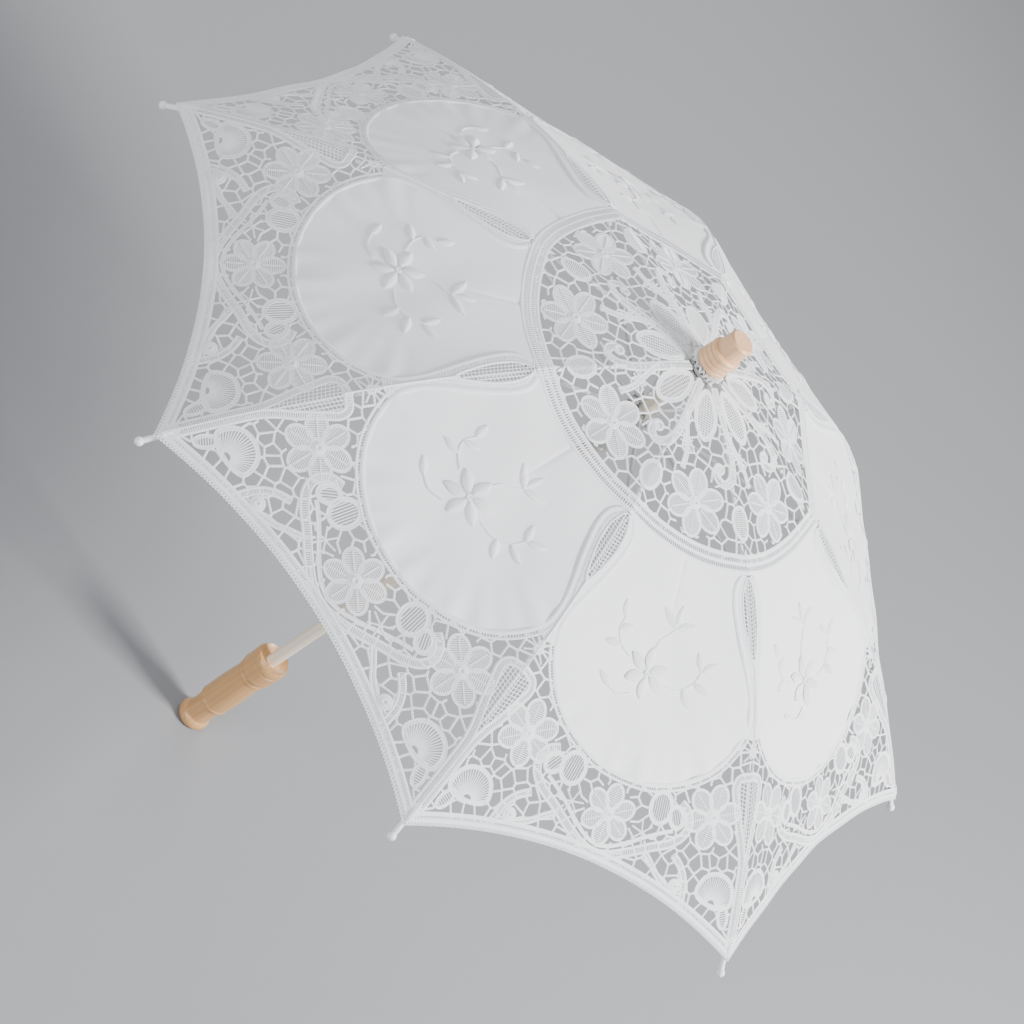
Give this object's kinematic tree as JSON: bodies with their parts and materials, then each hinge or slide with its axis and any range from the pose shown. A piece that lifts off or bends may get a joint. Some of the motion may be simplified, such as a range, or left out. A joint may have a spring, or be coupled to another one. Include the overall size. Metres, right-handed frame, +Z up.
{
  "type": "lace parasol",
  "caption": "Open sun parasol with a scalloped lace and cotton canopy on hinged ribs, wire stretchers, a sliding runner, a turned wooden handle and finial.",
  "frame": {"origin": "middle of the handle's flat end, on the shaft's axis", "axes": "+Z up the shaft towards the finial; +X towards rib 1, which is one of eight ribs 45 degrees apart"},
  "size_m": [0.797, 0.797, 0.6494],
  "materials": {
    "handle_wood": "satin varnish",
    "shaft_wood": "satin",
    "finial_wood": "matt",
    "fitting_metal": "satin",
    "wire_steel": "bright",
    "rib_steel": "satin white",
    "tip_white": "gloss white",
    "lace": "cotton lace"
  },
  "bodies": {
    "root": {"shaft": "shaft_wood", "handle": "handle_wood", "finial": "finial_wood", "notch": "fitting_metal", "notch_ring": "wire_steel", "crown_rosette": "lace", "stop_wire": "wire_steel"},
    "runner": {"runner": "fitting_metal", "runner_ring": "wire_steel"},
    "top_catch": {"top_catch": "wire_steel"},
    "bottom_catch": {"bottom_catch": "wire_steel"},
    "rib_1": {"rib_1": "rib_steel", "rib_tip_1": "tip_white", "rivet_1": "wire_steel"},
    "stretcher_1": {"stretcher_1": "rib_steel"},
    "gore_1_left": {"gore_1_left": "lace"},
    "gore_1_right": {"gore_1_right": "lace"},
    "rib_2": {"rib_2": "rib_steel", "rib_tip_2": "tip_white", "rivet_2": "wire_steel"},
    "stretcher_2": {"stretcher_2": "rib_steel"},
    "gore_2_left": {"gore_2_left": "lace"},
    "gore_2_right": {"gore_2_right": "lace"},
    "rib_3": {"rib_3": "rib_steel", "rib_tip_3": "tip_white", "rivet_3": "wire_steel"},
    "stretcher_3": {"stretcher_3": "rib_steel"},
    "gore_3_left": {"gore_3_left": "lace"},
    "gore_3_right": {"gore_3_right": "lace"},
    "rib_4": {"rib_4": "rib_steel", "rib_tip_4": "tip_white", "rivet_4": "wire_steel"},
    "stretcher_4": {"stretcher_4": "rib_steel"},
    "gore_4_left": {"gore_4_left": "lace"},
    "gore_4_right": {"gore_4_right": "lace"},
    "rib_5": {"rib_5": "rib_steel", "rib_tip_5": "tip_white", "rivet_5": "wire_steel"},
    "stretcher_5": {"stretcher_5": "rib_steel"},
    "gore_5_left": {"gore_5_left": "lace"},
    "gore_5_right": {"gore_5_right": "lace"},
    "rib_6": {"rib_6": "rib_steel", "rib_tip_6": "tip_white", "rivet_6": "wire_steel"},
    "stretcher_6": {"stretcher_6": "rib_steel"},
    "gore_6_left": {"gore_6_left": "lace"},
    "gore_6_right": {"gore_6_right": "lace"},
    "rib_7": {"rib_7": "rib_steel", "rib_tip_7": "tip_white", "rivet_7": "wire_steel"},
    "stretcher_7": {"stretcher_7": "rib_steel"},
    "gore_7_left": {"gore_7_left": "lace"},
    "gore_7_right": {"gore_7_right": "lace"},
    "rib_8": {"rib_8": "rib_steel", "rib_tip_8": "tip_white", "rivet_8": "wire_steel"},
    "stretcher_8": {"stretcher_8": "rib_steel"},
    "gore_8_left": {"gore_8_left": "lace"},
    "gore_8_right": {"gore_8_right": "lace"}
  },
  "joints": [
    {"name": "canopy_fold", "type": "hinge", "parent": "root", "child": "rib_1", "pos_m": [0.0095, 0, 0.60913], "axis": [0, 1, 0], "range_deg": [0, 64], "deforming": ["gore_1_left", "gore_1_right", "gore_2_left", "gore_2_right", "gore_3_left", "gore_3_right", "gore_4_left", "gore_4_right", "gore_5_left", "gore_5_right", "gore_6_left", "gore_6_right", "gore_7_left", "gore_7_right", "gore_8_left", "gore_8_right"]},
    {"name": "rib_2_fold", "type": "hinge", "parent": "root", "child": "rib_2", "pos_m": [0.00672, 0.00672, 0.60913], "axis": [-0.7071, 0.7071, 0], "range_deg": [0, 64]},
    {"name": "rib_3_fold", "type": "hinge", "parent": "root", "child": "rib_3", "pos_m": [0, 0.0095, 0.60913], "axis": [-1, 0, 0], "range_deg": [0, 64]},
    {"name": "rib_4_fold", "type": "hinge", "parent": "root", "child": "rib_4", "pos_m": [-0.00672, 0.00672, 0.60913], "axis": [-0.7071, -0.7071, 0], "range_deg": [0, 64]},
    {"name": "rib_5_fold", "type": "hinge", "parent": "root", "child": "rib_5", "pos_m": [-0.0095, 0, 0.60913], "axis": [0, -1, 0], "range_deg": [0, 64]},
    {"name": "rib_6_fold", "type": "hinge", "parent": "root", "child": "rib_6", "pos_m": [-0.00672, -0.00672, 0.60913], "axis": [0.7071, -0.7071, 0], "range_deg": [0, 64]},
    {"name": "rib_7_fold", "type": "hinge", "parent": "root", "child": "rib_7", "pos_m": [0, -0.0095, 0.60913], "axis": [1, 0, 0], "range_deg": [0, 64]},
    {"name": "rib_8_fold", "type": "hinge", "parent": "root", "child": "rib_8", "pos_m": [0.00672, -0.00672, 0.60913], "axis": [0.7071, 0.7071, 0], "range_deg": [0, 64]},
    {"name": "stretcher_1_pivot", "type": "hinge", "parent": "rib_1", "child": "stretcher_1", "pos_m": [0.15625, 0, 0.57807], "axis": [0, 1, 0], "range_deg": [-129, 0]},
    {"name": "stretcher_2_pivot", "type": "hinge", "parent": "rib_2", "child": "stretcher_2", "pos_m": [0.11048, 0.11048, 0.57807], "axis": [-0.7071, 0.7071, 0], "range_deg": [-129, 0]},
    {"name": "stretcher_3_pivot", "type": "hinge", "parent": "rib_3", "child": "stretcher_3", "pos_m": [0, 0.15625, 0.57807], "axis": [-1, 0, 0], "range_deg": [-129, 0]},
    {"name": "stretcher_4_pivot", "type": "hinge", "parent": "rib_4", "child": "stretcher_4", "pos_m": [-0.11048, 0.11048, 0.57807], "axis": [-0.7071, -0.7071, 0], "range_deg": [-129, 0]},
    {"name": "stretcher_5_pivot", "type": "hinge", "parent": "rib_5", "child": "stretcher_5", "pos_m": [-0.15625, 0, 0.57807], "axis": [0, -1, 0], "range_deg": [-129, 0]},
    {"name": "stretcher_6_pivot", "type": "hinge", "parent": "rib_6", "child": "stretcher_6", "pos_m": [-0.11048, -0.11048, 0.57807], "axis": [0.7071, -0.7071, 0], "range_deg": [-129, 0]},
    {"name": "stretcher_7_pivot", "type": "hinge", "parent": "rib_7", "child": "stretcher_7", "pos_m": [0, -0.15625, 0.57807], "axis": [1, 0, 0], "range_deg": [-129, 0]},
    {"name": "stretcher_8_pivot", "type": "hinge", "parent": "rib_8", "child": "stretcher_8", "pos_m": [0.11048, -0.11048, 0.57807], "axis": [0.7071, 0.7071, 0], "range_deg": [-129, 0]},
    {"name": "runner_pivot", "type": "hinge", "parent": "stretcher_1", "child": "runner", "pos_m": [0.0095, 0, 0.54701], "axis": [0, 1, 0], "range_deg": [0, 65]},
    {"name": "gore_1_left_crease", "type": "hinge", "parent": "rib_1", "child": "gore_1_left", "pos_m": [0.12726, 0, 0.58686], "axis": [0.8816, 0, -0.472], "range_deg": [0, 61]},
    {"name": "gore_1_right_crease", "type": "hinge", "parent": "rib_1", "child": "gore_1_right", "pos_m": [0.12726, 0, 0.58686], "axis": [-0.8816, 0, 0.472], "range_deg": [0, 61]},
    {"name": "gore_2_left_crease", "type": "hinge", "parent": "rib_2", "child": "gore_2_left", "pos_m": [0.08999, 0.08999, 0.58686], "axis": [0.6234, 0.6234, -0.472], "range_deg": [0, 61]},
    {"name": "gore_2_right_crease", "type": "hinge", "parent": "rib_2", "child": "gore_2_right", "pos_m": [0.08999, 0.08999, 0.58686], "axis": [-0.6234, -0.6234, 0.472], "range_deg": [0, 61]},
    {"name": "gore_3_left_crease", "type": "hinge", "parent": "rib_3", "child": "gore_3_left", "pos_m": [0, 0.12726, 0.58686], "axis": [0, 0.8816, -0.472], "range_deg": [0, 61]},
    {"name": "gore_3_right_crease", "type": "hinge", "parent": "rib_3", "child": "gore_3_right", "pos_m": [0, 0.12726, 0.58686], "axis": [0, -0.8816, 0.472], "range_deg": [0, 61]},
    {"name": "gore_4_left_crease", "type": "hinge", "parent": "rib_4", "child": "gore_4_left", "pos_m": [-0.08999, 0.08999, 0.58686], "axis": [-0.6234, 0.6234, -0.472], "range_deg": [0, 61]},
    {"name": "gore_4_right_crease", "type": "hinge", "parent": "rib_4", "child": "gore_4_right", "pos_m": [-0.08999, 0.08999, 0.58686], "axis": [0.6234, -0.6234, 0.472], "range_deg": [0, 61]},
    {"name": "gore_5_left_crease", "type": "hinge", "parent": "rib_5", "child": "gore_5_left", "pos_m": [-0.12726, 0, 0.58686], "axis": [-0.8816, 0, -0.472], "range_deg": [0, 61]},
    {"name": "gore_5_right_crease", "type": "hinge", "parent": "rib_5", "child": "gore_5_right", "pos_m": [-0.12726, 0, 0.58686], "axis": [0.8816, 0, 0.472], "range_deg": [0, 61]},
    {"name": "gore_6_left_crease", "type": "hinge", "parent": "rib_6", "child": "gore_6_left", "pos_m": [-0.08999, -0.08999, 0.58686], "axis": [-0.6234, -0.6234, -0.472], "range_deg": [0, 61]},
    {"name": "gore_6_right_crease", "type": "hinge", "parent": "rib_6", "child": "gore_6_right", "pos_m": [-0.08999, -0.08999, 0.58686], "axis": [0.6234, 0.6234, 0.472], "range_deg": [0, 61]},
    {"name": "gore_7_left_crease", "type": "hinge", "parent": "rib_7", "child": "gore_7_left", "pos_m": [0, -0.12726, 0.58686], "axis": [0, -0.8816, -0.472], "range_deg": [0, 61]},
    {"name": "gore_7_right_crease", "type": "hinge", "parent": "rib_7", "child": "gore_7_right", "pos_m": [0, -0.12726, 0.58686], "axis": [0, 0.8816, 0.472], "range_deg": [0, 61]},
    {"name": "gore_8_left_crease", "type": "hinge", "parent": "rib_8", "child": "gore_8_left", "pos_m": [0.08999, -0.08999, 0.58686], "axis": [0.6234, -0.6234, -0.472], "range_deg": [0, 61]},
    {"name": "gore_8_right_crease", "type": "hinge", "parent": "rib_8", "child": "gore_8_right", "pos_m": [0.08999, -0.08999, 0.58686], "axis": [-0.6234, 0.6234, 0.472], "range_deg": [0, 61]},
    {"name": "top_catch_press", "type": "slide", "parent": "root", "child": "top_catch", "axis": [-0.9239, -0.3827, 0], "range_m": [0, 0.0021], "stiffness_N_per_m": 800},
    {"name": "bottom_catch_press", "type": "slide", "parent": "root", "child": "bottom_catch", "axis": [-0.9239, -0.3827, 0], "range_m": [0, 0.0021], "stiffness_N_per_m": 800}
  ],
  "couplings": [
    {"joint": "rib_2_fold", "follows": "canopy_fold", "ratio": 1},
    {"joint": "rib_3_fold", "follows": "canopy_fold", "ratio": 1},
    {"joint": "rib_4_fold", "follows": "canopy_fold", "ratio": 1},
    {"joint": "rib_5_fold", "follows": "canopy_fold", "ratio": 1},
    {"joint": "rib_6_fold", "follows": "canopy_fold", "ratio": 1},
    {"joint": "rib_7_fold", "follows": "canopy_fold", "ratio": 1},
    {"joint": "rib_8_fold", "follows": "canopy_fold", "ratio": 1},
    {"joint": "stretcher_1_pivot", "follows": "canopy_fold", "ratio": -2},
    {"joint": "stretcher_2_pivot", "follows": "canopy_fold", "ratio": -2},
    {"joint": "stretcher_3_pivot", "follows": "canopy_fold", "ratio": -2},
    {"joint": "stretcher_4_pivot", "follows": "canopy_fold", "ratio": -2},
    {"joint": "stretcher_5_pivot", "follows": "canopy_fold", "ratio": -2},
    {"joint": "stretcher_6_pivot", "follows": "canopy_fold", "ratio": -2},
    {"joint": "stretcher_7_pivot", "follows": "canopy_fold", "ratio": -2},
    {"joint": "stretcher_8_pivot", "follows": "canopy_fold", "ratio": -2},
    {"joint": "runner_pivot", "follows": "canopy_fold", "ratio": 1},
    {"joint": "gore_1_left_crease", "follows": "canopy_fold", "ratio": 0.9375},
    {"joint": "gore_1_right_crease", "follows": "canopy_fold", "ratio": 0.9375},
    {"joint": "gore_2_left_crease", "follows": "canopy_fold", "ratio": 0.9375},
    {"joint": "gore_2_right_crease", "follows": "canopy_fold", "ratio": 0.9375},
    {"joint": "gore_3_left_crease", "follows": "canopy_fold", "ratio": 0.9375},
    {"joint": "gore_3_right_crease", "follows": "canopy_fold", "ratio": 0.9375},
    {"joint": "gore_4_left_crease", "follows": "canopy_fold", "ratio": 0.9375},
    {"joint": "gore_4_right_crease", "follows": "canopy_fold", "ratio": 0.9375},
    {"joint": "gore_5_left_crease", "follows": "canopy_fold", "ratio": 0.9375},
    {"joint": "gore_5_right_crease", "follows": "canopy_fold", "ratio": 0.9375},
    {"joint": "gore_6_left_crease", "follows": "canopy_fold", "ratio": 0.9375},
    {"joint": "gore_6_right_crease", "follows": "canopy_fold", "ratio": 0.9375},
    {"joint": "gore_7_left_crease", "follows": "canopy_fold", "ratio": 0.9375},
    {"joint": "gore_7_right_crease", "follows": "canopy_fold", "ratio": 0.9375},
    {"joint": "gore_8_left_crease", "follows": "canopy_fold", "ratio": 0.9375},
    {"joint": "gore_8_right_crease", "follows": "canopy_fold", "ratio": 0.9375}
  ]
}
